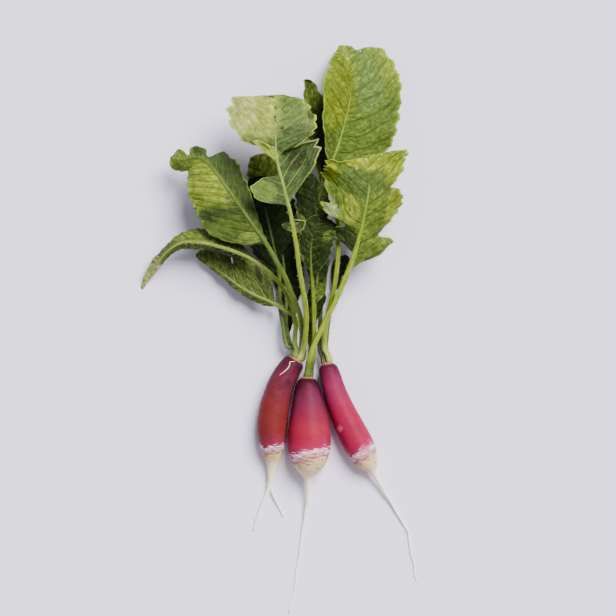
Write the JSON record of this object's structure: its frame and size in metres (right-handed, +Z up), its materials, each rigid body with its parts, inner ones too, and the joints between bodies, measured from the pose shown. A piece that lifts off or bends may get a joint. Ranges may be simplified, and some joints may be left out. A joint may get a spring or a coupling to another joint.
{
  "type": "bunch of radishes",
  "caption": "Bunch of long red radishes with white tips, thin tap roots and toothed green leaves, lying flat.",
  "frame": {"origin": "centre of the bunch's bounding box, on the surface it lies on", "axes": "+Z up from the surface, +Y from the tap roots towards the leaf tips, +X to the right seen from above"},
  "size_m": [0.1659, 0.3398, 0.0516],
  "materials": {
    "radish_skin": "satin red skin, white lower end",
    "leaf_pale": "matte pale green leaf",
    "leaf_green": "matte green leaf",
    "leaf_dark": "matte dark green leaf"
  },
  "bodies": {
    "root": {"root_left": "radish_skin", "root_middle": "radish_skin", "root_right": "radish_skin", "leaf_front": "leaf_pale", "leaf_tall": "leaf_green", "leaf_right": "leaf_green", "leaf_folded": "leaf_green", "leaf_drooping": "leaf_green", "leaf_low_left": "leaf_dark", "leaf_narrow": "leaf_green", "leaf_back_left": "leaf_dark", "leaf_back_upper": "leaf_dark", "leaf_centre": "leaf_dark", "leaf_inner": "leaf_dark", "leaf_young": "leaf_green"}
  },
  "joints": []
}
